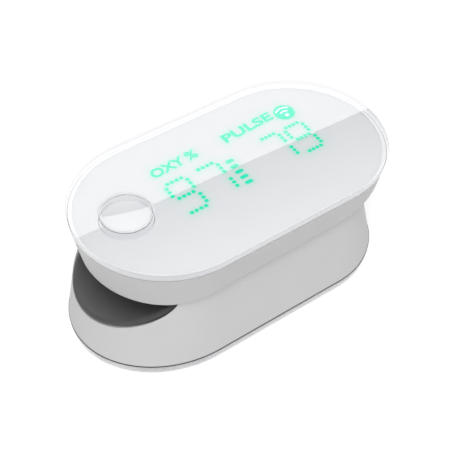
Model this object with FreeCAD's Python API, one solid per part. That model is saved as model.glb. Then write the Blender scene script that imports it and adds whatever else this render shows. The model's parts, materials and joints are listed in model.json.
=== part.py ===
import FreeCAD, Part
import math
import os

os.makedirs("parts", exist_ok=True)

# Fingertip pulse oximeter, in millimetres. X runs along the finger: the finger goes in at -X and the
# hinge is near +X. Z is up. The origin is the middle of the face that it rests on.

V = FreeCAD.Vector

# ---- driving dimensions of the case ----
TOP_LENGTH = 62.0
TOP_WIDTH = 34.3
HEIGHT = 25.8
END_RADIUS = TOP_WIDTH / 2
STRAIGHT = TOP_LENGTH / 2 - END_RADIUS      # half length of the straight sides
BASE_FRONT = 33.2                           # the base reaches further forward than the top
BASE_REAR = 30.2
BASE_HALF = 16.5
ORIGIN_SHIFT = (BASE_FRONT - TOP_LENGTH / 2) / 2    # puts the origin under the middle of the whole outline
BASE_PLATE = 1.7                            # thickness of the clear base plate
TOP_PLATE = 1.6                             # thickness of the clear top cover
PLATE_ROUND = 0.35                          # edge rounding of both clear plates
SEAM = 0.25                                 # dark seam between the base plate and the lower shell
WALL = 1.1                                  # wall of both shells
GAP = 0.3                                   # clearance between parts that move past each other
FIT = 0.1                                   # clearance between parts fixed to each other
TOUCH = 0.05                                # clearance at a spring's leg or a ribbon's end
BEYOND = 40.0                               # past the case along X, for cutting blocks
BESIDE = 20.0                               # past the case along Y
ABOVE = 30.0                                # past the case in Z

# ---- lower shell: how far its outline draws in from the base plate's, per mm of height ----
SHELL_INSET = 0.05                          # at the seam
DRAW_FRONT = 0.18
DRAW_REAR = 0.29
DRAW_SIDE = 0.12
SHELL_HEIGHTS = [BASE_PLATE + SEAM, 4.5, 7.0, 9.5, 12.0, 14.5, 17.0, 20.0]
SHOULDER = [0.0, 0.0, 0.0, 0.0, 0.02, 0.15, 0.4, 0.4]       # extra inset: a soft shoulder under the skirt
COLLAR_TOP = 18.8                           # ahead of the hinge
COLLAR_REAR_TOP = 19.9                      # around the rear, behind COLLAR_STEP
COLLAR_STEP = 12.5
COLLAR_FRONT_TOP = 16.0                     # top of the lower shell beside the finger
COLLAR_FRONT_END = -12.0
PAD_TO_SHELL = 0.12                         # the pad's front edge stays this far inside the shell's face

# ---- bottom tray ----
TRAY_INSET = 0.4                            # the seam's rim, in from the base plate's outline
TRAY_GAP = 0.8                              # the tray's floor, in from the shell's wall
TRAY_TOP = 3.2

# ---- upper shell ----
COVER_BOTTOM = HEIGHT - TOP_PLATE
UPPER_RIM = END_RADIUS - 0.18               # half width under the cover
UPPER_DRAFT = 0.2                           # mm in for each mm down
SKIRT_EDGE = [(-34.0, 17.3), (-28.0, 16.85), (-22.0, 16.5), (-17.5, 16.8), (-12.0, 17.35), (0.0, 17.7),
              (8.0, 18.0), (14.0, 18.6), (20.0, 19.7), (26.0, 20.5), (34.0, 20.8)]
SKIRT_LOW = 15.0                            # the shell is made down to here, then trimmed to SKIRT_EDGE
MASK_THICK = 0.8
MASK_TOP = COVER_BOTTOM - 0.06
MASK_BOTTOM = MASK_TOP - MASK_THICK
MASK_RADIUS = UPPER_RIM - 0.7
DECK_THICK = 0.75
DECK_BOTTOM = MASK_BOTTOM - DECK_THICK
WINDOW_HALF = 11.4                          # half width of the opening in the deck
WINDOW_FRONT = -27.5
WINDOW_REAR = 22.5
RELIEF_HALF = 14.9                          # the deck is open at the rear, above the ribbon
RELIEF_FRONT = 20.0
RELIEF_BOTTOM = 20.0
POST_RADIUS = 1.3                           # posts for the frame screws

# ---- finger channel ----
MOUTH_HALF = 13.9                           # half width of the channel at the mouth
MOUTH_DEPTH = 7.3                           # both depths are below CHANNEL_TOP
INNER_HALF = 11.9                           # half width at the finger stop
INNER_DEPTH = 6.4
CHANNEL_TOP = 16.0
CHANNEL_FRONT = -33.5
STOP_X = 5.0
PAD_WALL = 1.2
TROUGH_WALL = 0.75
UPPER_PAD_BOTTOM = 16.5
UPPER_CHANNEL_RADIUS = 40.0
UPPER_CHANNEL_DEPTH = 1.3
UPPER_PAD_FRONT_HALF = 14.0                 # ahead of the collar
UPPER_PAD_REAR_HALF = 12.3                  # between the collar's walls
PAD_STEP = 0.7                              # from the collar's front end to the wide part of the pad
SENSOR_X = -9.0                             # the light path crosses the finger here
WINDOW_RADIUS = 2.8

# ---- hinge ----
HINGE_X = 14.0
HINGE_Z = 16.0
PIN_RADIUS = 0.8
PIN_CLEARANCE = 0.06
KNUCKLE_RADIUS = 2.2
EAR_Y = (10.7, 12.3)
LUG_Y = (8.3, 10.4)
SPRING_Y = (4.7, 7.5)
SPRING_RADIUS = 1.85
SPRING_WIRE = 0.25
SPRING_TURNS = 4
SPRING_LEG = 5.0
SPRING_STOP = (3.2, 5.2)                    # the legs rest on blocks this far behind the hinge line
PIN_CHAMFER = 0.15

# ---- inner frames ----
FRAME_BOTTOM = 8.1
FRAME_PLATE = 1.0
FRAME_PLATE_HALF = 13.9
FRAME_PLATE_REAR = 11.5                     # middle of the plate's round end
TROUGH_FRONT = -27.0
TROUGH_TOP = 14.0
BOSS_RADIUS = 1.9
FRONT_BOSS_TOP = 12.0
UPPER_PLATE_BOTTOM = 19.1
UPPER_PLATE_TOP = 19.9
UPPER_PLATE_HALF = 14.1
UPPER_PLATE_REAR = 10.0                     # middle of the plate's round end
LUG_PLATE = (-3.5, 2.8)                     # the plate that joins the lugs, from the hinge line
BOARD_POSTS = [(-23.0, 5.0), (-23.0, -5.0), (6.0, 9.5), (6.0, -9.5)]
BOARD_POST_RADIUS = 1.2
OVERLAP = 0.2                               # how deep posts run into the plate that they stand on

# ---- boards ----
BOARD_THICK = 0.8
BOARD_BOTTOM = 20.2
BOARD_TOP = BOARD_BOTTOM + BOARD_THICK
BOARD_HALF = 11.2
BOARD_FRONT = -26.8
BOARD_REAR = 22.0
BOARD_CORNER = 1.0
SENSOR_BOARD = (-15.0, 2.0)                 # from x to x
SENSOR_BOARD_HALF = 6.0
SENSOR_BOARD_BOTTOM = 7.2
SENSOR_BOARD_TOP = 7.9
DIE_HALF = 1.5                              # both parts of the light path are small square chips
DIE_HEIGHT = 0.7
DIE_CORNER = 0.25
PROCESSOR = (-18.2, -14.2)
PROCESSOR_HALF = 2.0
PROCESSOR_HEIGHT = 0.7
RADIO = (-4.0, 7.0)
RADIO_Y = (-10.3, -6.5)
RADIO_HEIGHT = 1.2

# ---- battery ----
CELL_FRONT = -13.0
CELL_REAR = 14.0
CELL_HALF = 9.5
CELL_TOP = 7.0
CELL_ROUND = 0.9
FOAM_THICK = 0.5
FOAM_INSET = 1.0
TAB_HALF = 6.0
TAB_Z = (4.8, 5.4)
TAB_LENGTH = 1.2

# ---- charging socket and ribbon ----
SOCKET_Z = 6.3
SOCKET_FRONT = 23.4
SOCKET_REAR = 28.0
SOCKET_HALF = 3.75
SOCKET_HALF_HEIGHT = 1.3
RIBBON_X = 21.6
RIBBON_HALF = 3.0
RIBBON_THICK = 0.2
RIBBON_PLAY = 0.7                           # room around the ribbon where it passes the frame
RIBBON_STRAIGHT_TOP = 12.0
RIBBON_MIDDLE = (0.45, 16.0)                # how far forward the ribbon has swept, and the height there
RIBBON_SWEEP = 2.3                          # the same at its upper end
CONNECTOR_HEIGHT = 0.9
CONNECTOR_HALF_LENGTH = 1.0
CONNECTOR_HALF = 3.4
SOCKET_ROUND = 0.7
SOCKET_WALL = 0.3
SOCKET_BORE_ROUND = 0.5
SOCKET_BACK_WALL = 0.8
TONGUE_HALF = 1.9
TONGUE_Z = (0.1, 0.6)                       # above the socket's middle
CHARGE_BOARD = (16.5, 26.0)
CHARGE_BOARD_HALF = 6.5
CHARGE_BOARD_TOP = 5.0
CHARGE_CHIP = (17.5, 20.0)
CHARGE_POST = 1.5                           # side of each square post under the board
CHARGE_POST_X = (18.5, 24.0)
CHARGE_POST_Y = (-5.5, 4.0)

# ---- button ----
BUTTON_X = -21.1
BUTTON_Y = 1.3
BUTTON_RADIUS = 4.63
BUTTON_FLANGE = 5.5
BUTTON_GAP = 0.12
BUTTON_HOLE = BUTTON_RADIUS + BUTTON_GAP
BUTTON_BOTTOM = 22.45
BUTTON_ROUND = 0.15
FLANGE_THICK = 0.5
STEM_RADIUS = 1.0
STEM_LENGTH = 0.7
MOUTH_CHAMFER = 0.1                         # round the button's hole in the cover
SWITCH_HALF = 2.2
SWITCH_CORNER = 0.4
SWITCH_THICK = 0.25
DOME_RISE = 0.36
DOME_RADIUS = 1.8                           # of its foot
DOME_THICK = 0.08

# ---- display: digits of dots on the board ----
DISPLAY_HALF = 11.0                         # a stadium, cut off at the front and along one side
DISPLAY_ENDS = (-6.0, 10.6)
DISPLAY_FRONT = -13.6
DISPLAY_LOW_Y = -5.9
DISPLAY_TOP = 22.3
DISPLAY_WALL = 0.8
DIFFUSER_THICK = 0.5
EMITTER_HALF = 0.25
EMITTER_HEIGHT = 0.4
DOT_STEP_X = 0.97
DIGIT_HEIGHT = 8.1
DIGIT_SLANT = 0.042                         # how far a digit leans, mm along for each mm up
DIGIT_WIDTH = 4.4
DOT_RISE = 0.02                             # the upright dots sit this share of half a digit off an even step
NUMBERS = [
    # the first digit's middle x and y, the pitch to the second, the scale
    (-9.5, 0.35, 6.57, 1.0),
    (11.2, 0.7, 5.5, 0.91),
]
BAR_X = 1.54
BAR_STEP = 1.54
BARS = 5
BAR_MIDDLE_Y = -0.08
BAR_EMITTER_X = 0.45                        # two emitters under each bar, this far from its middle

# ---- fasteners ----
CASE_SCREWS = [(-19.0, 9.5), (-19.0, -9.5), (19.5, 10.6), (19.5, -10.6)]
CASE_HEAD = 1.5
CASE_SHANK = 0.6
CASE_HEAD_TOP = 2.45
CASE_TIP = 7.2
CASE_HOLE_PLAY = 0.15
FRAME_SCREWS = [(-14.0, 13.0), (-14.0, -13.0), (9.0, 13.0), (9.0, -13.0)]
FRAME_HEAD = 1.05
FRAME_SHANK = 0.55
FRAME_HEAD_HEIGHT = 0.5
FRAME_TIP = 22.0
HEAD_PLAY = 0.05
HEAD_SUNK = 0.02                            # heads stand this far clear of the face below them
CROSS_REACH = 0.7                           # arms of the recess in a screw's head
CROSS_HALF = 0.15
CROSS_DEPTH = 0.35
TIP_ROOM = 0.2                              # blind holes run this far past the screw


def save(name, shape):
    """Writes one node and prints its size, so that an empty or broken shape is noticed."""
    shape = shape.copy()
    shape.translate(V(ORIGIN_SHIFT, 0, 0))
    bounds = shape.optimalBoundingBox()
    print(name, "solids", len(shape.Solids), "valid", shape.isValid(), "volume", round(shape.Volume, 2),
          "x", round(bounds.XMin, 2), round(bounds.XMax, 2),
          "z", round(bounds.ZMin, 2), round(bounds.ZMax, 2))
    shape.exportStep("parts/" + name + ".step")


def box(x0, x1, y0, y1, z0, z1):
    return Part.makeBox(x1 - x0, y1 - y0, z1 - z0, V(x0, y0, z0))


def across(x0, x1, z0, z1):
    """A block right across the case, for cutting and trimming."""
    return box(x0, x1, -BESIDE, BESIDE, z0, z1)


def rounded_box(x0, x1, y0, y1, z0, z1, radius, along="Z"):
    """A block with its four edges along X or Z rounded."""
    block = box(x0, x1, y0, y1, z0, z1)
    length = x1 - x0 if along == "X" else z1 - z0
    edges = [e for e in block.Edges if abs(getattr(e.BoundBox, along + "Length") - length) < 1e-4]
    return block.makeFillet(radius, edges)


def disc(radius, x, y, z0, z1):
    return Part.makeCylinder(radius, z1 - z0, V(x, y, z0))


def through_hole(radius, x, y):
    return disc(radius, x, y, 0, ABOVE)


def cross_rod(radius, x, z, y0, y1):
    """A round bar along Y."""
    return Part.makeCylinder(radius, y1 - y0, V(x, y0, z), V(0, 1, 0))


def stretched_end(x, reach, half, z):
    """Half of an ellipse about (x, 0): reach along X (negative towards the front), half across."""
    side = 1 if reach > 0 else -1
    arc = Part.Arc(V(0, side * half, 0), V(side * half, 0, 0), V(0, -side * half, 0)).toShape().toNurbs()
    stretch = FreeCAD.Matrix(abs(reach) / half, 0, 0, x, 0, 1, 0, 0, 0, 0, 1, z, 0, 0, 0, 1)
    return arc.transformGeometry(stretch).Edges[0]


def outline_wire(front, rear, half, z):
    """Straight sides at y = +-half joined by half ellipses that reach to x = -front and x = rear."""
    side_a = Part.makeLine(V(-STRAIGHT, half, z), V(STRAIGHT, half, z))
    side_b = Part.makeLine(V(STRAIGHT, -half, z), V(-STRAIGHT, -half, z))
    rear_end = stretched_end(STRAIGHT, rear - STRAIGHT, half, z)
    front_end = stretched_end(-STRAIGHT, STRAIGHT - front, half, z)
    return Part.Wire([side_a, rear_end, side_b, front_end])


def base_outline(inset, z):
    return outline_wire(BASE_FRONT - inset, BASE_REAR - inset, BASE_HALF - inset, z)


def base_slab(inset, z0, z1):
    return Part.Face(base_outline(inset, z0)).extrude(V(0, 0, z1 - z0))


def stadium_wire(radius, z, front=-STRAIGHT, rear=STRAIGHT):
    """Two straight sides joined by half circles about (front, 0) and (rear, 0)."""
    side_a = Part.LineSegment(V(front, radius, z), V(rear, radius, z)).toShape()
    end_a = Part.Arc(V(rear, radius, z), V(rear + radius, 0, z), V(rear, -radius, z)).toShape()
    side_b = Part.LineSegment(V(rear, -radius, z), V(front, -radius, z)).toShape()
    end_b = Part.Arc(V(front, -radius, z), V(front - radius, 0, z), V(front, radius, z)).toShape()
    return Part.Wire([side_a, end_a, side_b, end_b])


def stadium(radius, z0, z1, front=-STRAIGHT, rear=STRAIGHT):
    face = Part.Face(stadium_wire(radius, z0, front, rear))
    return face.extrude(V(0, 0, z1 - z0))


def stadium_cone(radius0, z0, radius1, z1):
    return Part.makeLoft([stadium_wire(radius0, z0), stadium_wire(radius1, z1)], True, True)


def edges_at(shape, z):
    return [e for e in shape.Edges if abs(e.BoundBox.ZMin - z) < 1e-4 and abs(e.BoundBox.ZMax - z) < 1e-4]


def lower_envelope(inset):
    """Smooth solid inside the lower shell's outline, moved in by inset, open past both ends."""
    wires = []
    for z, shoulder in zip(SHELL_HEIGHTS, SHOULDER):
        rise = z - BASE_PLATE
        draw = SHELL_INSET + shoulder + inset
        front = BASE_FRONT - draw - DRAW_FRONT * rise
        rear = BASE_REAR - draw - DRAW_REAR * rise
        wires.append(outline_wire(front, rear, BASE_HALF - draw - DRAW_SIDE * rise, z))
    return Part.makeLoft(wires, True, False)


def channel(extra, front=CHANNEL_FRONT, rear=STOP_X, top=CHANNEL_TOP):
    """The finger's trough: half ellipses that narrow towards the stop, larger by extra all round."""
    wires = []
    for x, half, depth in ((front, MOUTH_HALF, MOUTH_DEPTH), (rear, INNER_HALF, INNER_DEPTH)):
        ellipse = Part.Ellipse(V(x, 0, CHANNEL_TOP), half + extra, depth + extra)
        arc = Part.ArcOfEllipse(ellipse, math.pi, 2 * math.pi).toShape()
        arc.rotate(V(x, 0, CHANNEL_TOP), V(1, 0, 0), 90)
        arc.rotate(V(x, 0, CHANNEL_TOP), V(0, 0, 1), 90)
        ends = sorted((v.Point for v in arc.Vertexes), key=lambda p: p.y)
        corners = [ends[0], V(x, ends[0].y, top), V(x, ends[1].y, top), ends[1]]
        if top == CHANNEL_TOP:
            lid = [Part.LineSegment(ends[0], ends[1]).toShape()]
        else:
            lid = [Part.LineSegment(a, b).toShape() for a, b in zip(corners, corners[1:])]
        wires.append(Part.Wire(Part.__sortEdges__([arc] + lid)))
    return Part.makeLoft(wires, True, True)


# ---------------------------------------------------------------- lower half

def base_cover():
    plate = base_slab(0, 0.0, BASE_PLATE)
    return plate.makeFillet(PLATE_ROUND, edges_at(plate, 0.0) + edges_at(plate, BASE_PLATE))


def bottom_tray():
    rim = base_slab(TRAY_INSET, BASE_PLATE, BASE_PLATE + SEAM)
    floor = base_slab(SHELL_INSET + WALL + TRAY_GAP, BASE_PLATE + SEAM, TRAY_TOP)
    tray = rim.fuse(floor).removeSplitter()
    for x, y in CASE_SCREWS:
        tray = tray.cut(through_hole(CASE_SHANK + CASE_HOLE_PLAY, x, y))
        tray = tray.cut(disc(CASE_HEAD + HEAD_PLAY, x, y, 0, CASE_HEAD_TOP))
    return tray


def socket_opening(grow):
    """Rounded slot along X for the charging socket."""
    half_w = SOCKET_HALF + grow
    half_h = SOCKET_HALF_HEIGHT + grow
    return rounded_box(SOCKET_FRONT, BEYOND, -half_w, half_w, SOCKET_Z - half_h, SOCKET_Z + half_h,
                       SOCKET_ROUND + grow / 2, "X")


def lower_shell():
    shell = lower_envelope(0).cut(lower_envelope(WALL))
    shell = shell.cut(across(-BEYOND, COLLAR_STEP, COLLAR_TOP, ABOVE))
    shell = shell.cut(across(-BEYOND, BEYOND, COLLAR_REAR_TOP, ABOVE))
    shell = shell.cut(channel(0, top=ABOVE))
    shell = shell.cut(across(-BEYOND, COLLAR_FRONT_END, COLLAR_FRONT_TOP, ABOVE))
    return shell.cut(socket_opening(GAP))


def lower_pad():
    pad = channel(0, rear=STOP_X).cut(channel(-PAD_WALL, rear=STOP_X - PAD_WALL))
    pad = pad.common(lower_envelope(PAD_TO_SHELL))
    pad = pad.common(across(-BEYOND, BEYOND, 0, CHANNEL_TOP - FIT))
    return pad.cut(through_hole(WINDOW_RADIUS, SENSOR_X, 0))


def hinge_knuckle(y0, y1, foot_z, half):
    """A plate with a round end about the hinge line, standing on (or hanging from) foot_z."""
    round_end = cross_rod(KNUCKLE_RADIUS, HINGE_X, HINGE_Z, y0, y1)
    low = min(foot_z, HINGE_Z)
    high = max(foot_z, HINGE_Z)
    return round_end.fuse(box(HINGE_X - half, HINGE_X + half, y0, y1, low, high))


def frame_limit():
    """The room that the inner frame may fill: the side walls' slope, clear of them by FIT."""
    low = BASE_PLATE
    high = SHELL_HEIGHTS[-1]
    half_low = BASE_HALF - SHELL_INSET - max(SHOULDER) - WALL - FIT
    return stadium_cone(half_low, low, half_low - DRAW_SIDE * (high - low), high)


def lower_frame():
    trough = channel(TROUGH_WALL, front=TROUGH_FRONT, rear=STOP_X + TROUGH_WALL)
    trough = trough.common(across(-BEYOND, BEYOND, 0, TROUGH_TOP))
    plate = stadium(FRAME_PLATE_HALF, FRAME_BOTTOM, FRAME_BOTTOM + FRAME_PLATE, 0, FRAME_PLATE_REAR)
    frame = trough.fuse(plate)
    for x, y in CASE_SCREWS:
        boss_top = FRONT_BOSS_TOP if x < 0 else FRAME_BOTTOM + FRAME_PLATE / 2
        frame = frame.fuse(disc(BOSS_RADIUS, x, y, TRAY_TOP, boss_top))
    for side in (1, -1):
        y0, y1 = sorted((side * EAR_Y[0], side * EAR_Y[1]))
        frame = frame.fuse(hinge_knuckle(y0, y1, FRAME_BOTTOM, KNUCKLE_RADIUS))
        y0, y1 = sorted((side * SPRING_Y[0], side * SPRING_Y[1]))
        leg_bottom = HINGE_Z - SPRING_RADIUS - SPRING_WIRE - TOUCH
        frame = frame.fuse(box(HINGE_X + SPRING_STOP[0], HINGE_X + SPRING_STOP[1], y0, y1,
                               FRAME_BOTTOM, leg_bottom))
    frame = frame.cut(channel(0, front=TROUGH_FRONT - 1, rear=STOP_X))
    frame = frame.cut(cross_rod(PIN_RADIUS, HINGE_X, HINGE_Z, -BESIDE, BESIDE))
    frame = frame.cut(through_hole(WINDOW_RADIUS + 2 * FIT, SENSOR_X, 0))
    slot_half = RIBBON_HALF + RIBBON_PLAY
    frame = frame.cut(box(RIBBON_X - RIBBON_PLAY, RIBBON_X + RIBBON_THICK + RIBBON_PLAY,
                          -slot_half, slot_half, 0, RIBBON_STRAIGHT_TOP))
    for x, y in CASE_SCREWS:
        frame = frame.cut(disc(CASE_SHANK, x, y, 0, CASE_TIP + TIP_ROOM))
    return frame.common(frame_limit()).removeSplitter()


def detector_window():
    base_z = CHANNEL_TOP - MOUTH_DEPTH
    window = disc(WINDOW_RADIUS, SENSOR_X, 0, base_z - TOUCH, CHANNEL_TOP - MOUTH_DEPTH / 2)
    return window.cut(channel(FIT - PAD_WALL, rear=STOP_X))


def photodiode():
    return rounded_box(SENSOR_X - DIE_HALF, SENSOR_X + DIE_HALF, -DIE_HALF, DIE_HALF,
                       SENSOR_BOARD_TOP, SENSOR_BOARD_TOP + DIE_HEIGHT, DIE_CORNER)


def sensor_board():
    front, rear = SENSOR_BOARD
    return rounded_box(front, rear, -SENSOR_BOARD_HALF, SENSOR_BOARD_HALF,
                       SENSOR_BOARD_BOTTOM, SENSOR_BOARD_TOP, BOARD_CORNER)


def battery():
    cell = rounded_box(CELL_FRONT, CELL_REAR, -CELL_HALF, CELL_HALF, TRAY_TOP + FOAM_THICK, CELL_TOP,
                       CELL_ROUND, "X")
    tab = box(CELL_REAR - FIT, CELL_REAR + TAB_LENGTH, -TAB_HALF, TAB_HALF, TAB_Z[0], TAB_Z[1])
    return cell.fuse(tab)


def battery_foam():
    half = CELL_HALF - FOAM_INSET
    return box(CELL_FRONT + FOAM_INSET, CELL_REAR - FOAM_INSET, -half, half, TRAY_TOP, TRAY_TOP + FOAM_THICK)


def charge_board():
    bottom = CHARGE_BOARD_TOP - BOARD_THICK
    front, rear = CHARGE_BOARD
    board = rounded_box(front, rear, -CHARGE_BOARD_HALF, CHARGE_BOARD_HALF, bottom, CHARGE_BOARD_TOP,
                        BOARD_CORNER)
    chip = box(CHARGE_CHIP[0], CHARGE_CHIP[1], -DIE_HALF, DIE_HALF,
               CHARGE_BOARD_TOP, CHARGE_BOARD_TOP + CONNECTOR_HEIGHT)
    posts = [box(x, x + CHARGE_POST, y, y + CHARGE_POST, TRAY_TOP, bottom)
             for x in CHARGE_POST_X for y in CHARGE_POST_Y]
    return board.fuse([chip] + posts).removeSplitter()


def charging_socket():
    half_w = SOCKET_HALF
    half_h = SOCKET_HALF_HEIGHT
    outer = rounded_box(SOCKET_FRONT, SOCKET_REAR, -half_w, half_w, SOCKET_Z - half_h, SOCKET_Z + half_h,
                        SOCKET_ROUND, "X")
    half_w = half_w - SOCKET_WALL
    half_h = half_h - SOCKET_WALL
    bore = rounded_box(SOCKET_FRONT + SOCKET_BACK_WALL, BEYOND, -half_w, half_w,
                       SOCKET_Z - half_h, SOCKET_Z + half_h, SOCKET_BORE_ROUND, "X")
    tongue = box(SOCKET_FRONT + SOCKET_BACK_WALL / 2, SOCKET_REAR - SOCKET_BACK_WALL,
                 -TONGUE_HALF, TONGUE_HALF, SOCKET_Z + TONGUE_Z[0], SOCKET_Z + TONGUE_Z[1])
    return outer.cut(bore).fuse(tongue).removeSplitter()


def screw(x, y, head_z, head_top, tip_z, head_radius, shank_radius):
    """A screw along Z with its tip up and a cross recess in the lower face of its head."""
    head = disc(head_radius, x, y, head_z, head_top)
    shank = disc(shank_radius, x, y, head_top, tip_z)
    low = head_z - HEAD_SUNK
    high = head_z + CROSS_DEPTH
    recess = box(x - CROSS_REACH, x + CROSS_REACH, y - CROSS_HALF, y + CROSS_HALF, low, high)
    recess = recess.fuse(box(x - CROSS_HALF, x + CROSS_HALF, y - CROSS_REACH, y + CROSS_REACH, low, high))
    return head.fuse(shank).removeSplitter().cut(recess)


def case_screws():
    low = BASE_PLATE + HEAD_SUNK
    return Part.makeCompound([screw(x, y, low, CASE_HEAD_TOP, CASE_TIP, CASE_HEAD, CASE_SHANK)
                              for x, y in CASE_SCREWS])


def hinge_pin():
    pin = cross_rod(PIN_RADIUS, HINGE_X, HINGE_Z, -EAR_Y[1], EAR_Y[1])
    rims = [e for e in pin.Edges if e.BoundBox.YLength < 1e-4]
    return pin.makeChamfer(PIN_CHAMFER, rims)


def torsion_spring(side):
    """Coil around the hinge pin with both legs pointing to the rear, one up and one down."""
    length = SPRING_Y[1] - SPRING_Y[0] - 2 * SPRING_WIRE
    helix = Part.makeHelix(length / (SPRING_TURNS + 0.5), length, SPRING_RADIUS)
    section = Part.Wire(Part.makeCircle(SPRING_WIRE, V(SPRING_RADIUS, 0, 0), V(0, 1, 0)))
    coil = Part.Wire(helix).makePipeShell([section], True, True)
    upper_leg = Part.makeCylinder(SPRING_WIRE, SPRING_LEG, V(SPRING_RADIUS, 0, 0), V(0, -1, 0))
    lower_leg = Part.makeCylinder(SPRING_WIRE, SPRING_LEG, V(-SPRING_RADIUS, 0, length), V(0, -1, 0))
    spring = coil.fuse([upper_leg, lower_leg])
    start_y = side * (SPRING_Y[0] + SPRING_Y[1]) / 2 + length / 2
    turn = FreeCAD.Matrix(0, -1, 0, HINGE_X, 0, 0, -1, start_y, 1, 0, 0, HINGE_Z, 0, 0, 0, 1)
    spring.transformShape(turn)
    return spring


def torsion_spring_left():
    return torsion_spring(1)


def torsion_spring_right():
    return torsion_spring(-1)


def ribbon_line(shift):
    """One face of the ribbon: up from the lower connector, then forward to the upper one."""
    foot = V(RIBBON_X + shift, -RIBBON_HALF, CHARGE_BOARD_TOP + CONNECTOR_HEIGHT)
    bend = V(RIBBON_X + shift, -RIBBON_HALF, RIBBON_STRAIGHT_TOP)
    middle = V(RIBBON_X - RIBBON_MIDDLE[0] + shift, -RIBBON_HALF, RIBBON_MIDDLE[1])
    top = V(RIBBON_X - RIBBON_SWEEP + shift, -RIBBON_HALF, BOARD_BOTTOM - CONNECTOR_HEIGHT - TOUCH)
    return [Part.LineSegment(foot, bend).toShape(), Part.Arc(bend, middle, top).toShape()], foot, top


def hinge_ribbon():
    front, front_foot, front_top = ribbon_line(0)
    rear, rear_foot, rear_top = ribbon_line(RIBBON_THICK)
    ends = [Part.makeLine(front_foot, rear_foot), Part.makeLine(front_top, rear_top)]
    outline = Part.Wire(Part.__sortEdges__(front + rear + ends))
    return Part.Face(outline).extrude(V(0, 2 * RIBBON_HALF, 0))


def connector(x, z):
    """A ribbon's connector: x is the ribbon's front face, z the connector's lower face."""
    middle = x + RIBBON_THICK / 2
    return box(middle - CONNECTOR_HALF_LENGTH, middle + CONNECTOR_HALF_LENGTH,
               -CONNECTOR_HALF, CONNECTOR_HALF, z, z + CONNECTOR_HEIGHT)


def lower_connector():
    return connector(RIBBON_X, CHARGE_BOARD_TOP)


# ---------------------------------------------------------------- upper half

def upper_radius(z):
    return UPPER_RIM - UPPER_DRAFT * (COVER_BOTTOM - z)


def below_skirt_edge():
    """Everything under the skirt's lower edge, which rises towards the rear."""
    curve = Part.BSplineCurve()
    curve.interpolate([V(x, -BESIDE, z) for x, z in SKIRT_EDGE])
    x0 = SKIRT_EDGE[0][0]
    x1 = SKIRT_EDGE[-1][0]
    corners = [V(x1, -BESIDE, SKIRT_EDGE[-1][1]), V(x1, -BESIDE, 0), V(x0, -BESIDE, 0),
               V(x0, -BESIDE, SKIRT_EDGE[0][1])]
    lines = [Part.makeLine(a, b) for a, b in zip(corners, corners[1:])]
    return Part.Face(Part.Wire(Part.__sortEdges__([curve.toShape()] + lines))).extrude(V(0, 2 * BESIDE, 0))


def upper_shell():
    low = SKIRT_LOW
    shell = stadium_cone(upper_radius(low), low, UPPER_RIM, COVER_BOTTOM)
    cavity = stadium_cone(upper_radius(low - 1) - WALL, low - 1,
                          upper_radius(DECK_BOTTOM) - WALL, DECK_BOTTOM)
    shell = shell.cut(cavity)
    shell = shell.cut(stadium(MASK_RADIUS + TOUCH, MASK_BOTTOM, COVER_BOTTOM + 1))
    shell = shell.cut(stadium(WINDOW_HALF, RELIEF_BOTTOM, ABOVE,
                              WINDOW_FRONT + WINDOW_HALF, WINDOW_REAR - WINDOW_HALF))
    relief = stadium(RELIEF_HALF, RELIEF_BOTTOM, ABOVE)
    shell = shell.cut(relief.common(across(RELIEF_FRONT, BEYOND, 0, ABOVE)))
    for x, y in FRAME_SCREWS:
        shell = shell.fuse(disc(POST_RADIUS, x, y, UPPER_PLATE_TOP, DECK_BOTTOM + OVERLAP))
    for x, y in FRAME_SCREWS:
        shell = shell.cut(disc(FRAME_SHANK, x, y, SKIRT_LOW, FRAME_TIP + FIT))
    return shell.cut(below_skirt_edge()).removeSplitter()


def display_mask():
    return stadium(MASK_RADIUS, MASK_BOTTOM, MASK_TOP).cut(through_hole(BUTTON_HOLE, BUTTON_X, BUTTON_Y))


def top_cover():
    plate = stadium(END_RADIUS, COVER_BOTTOM, HEIGHT)
    plate = plate.makeFillet(PLATE_ROUND, edges_at(plate, COVER_BOTTOM) + edges_at(plate, HEIGHT))
    plate = plate.cut(through_hole(BUTTON_HOLE, BUTTON_X, BUTTON_Y))
    mouth = [e for e in edges_at(plate, HEIGHT) if e.BoundBox.XLength < 3 * BUTTON_HOLE]
    return plate.makeChamfer(MOUTH_CHAMFER, mouth)


def button_cap():
    body = disc(BUTTON_RADIUS, BUTTON_X, BUTTON_Y, BUTTON_BOTTOM, HEIGHT)
    body = body.makeFillet(BUTTON_ROUND, edges_at(body, HEIGHT))
    flange = disc(BUTTON_FLANGE, BUTTON_X, BUTTON_Y, BUTTON_BOTTOM, BUTTON_BOTTOM + FLANGE_THICK)
    return body.fuse(flange).removeSplitter()


def button_stem():
    return disc(STEM_RADIUS, BUTTON_X, BUTTON_Y, BUTTON_BOTTOM - STEM_LENGTH, BUTTON_BOTTOM)


def switch_base():
    return rounded_box(BUTTON_X - SWITCH_HALF, BUTTON_X + SWITCH_HALF, BUTTON_Y - SWITCH_HALF,
                       BUTTON_Y + SWITCH_HALF, BOARD_TOP, BOARD_TOP + SWITCH_THICK, SWITCH_CORNER)


def switch_dome():
    """Thin metal cap of a sphere, standing on the switch base."""
    radius = (DOME_RADIUS ** 2 + DOME_RISE ** 2) / (2 * DOME_RISE)
    foot = BOARD_TOP + SWITCH_THICK
    centre = V(BUTTON_X, BUTTON_Y, foot + DOME_RISE - radius)
    dome = Part.makeSphere(radius, centre).cut(Part.makeSphere(radius - DOME_THICK, centre))
    return dome.common(disc(DOME_RADIUS, BUTTON_X, BUTTON_Y, foot, ABOVE))


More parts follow.
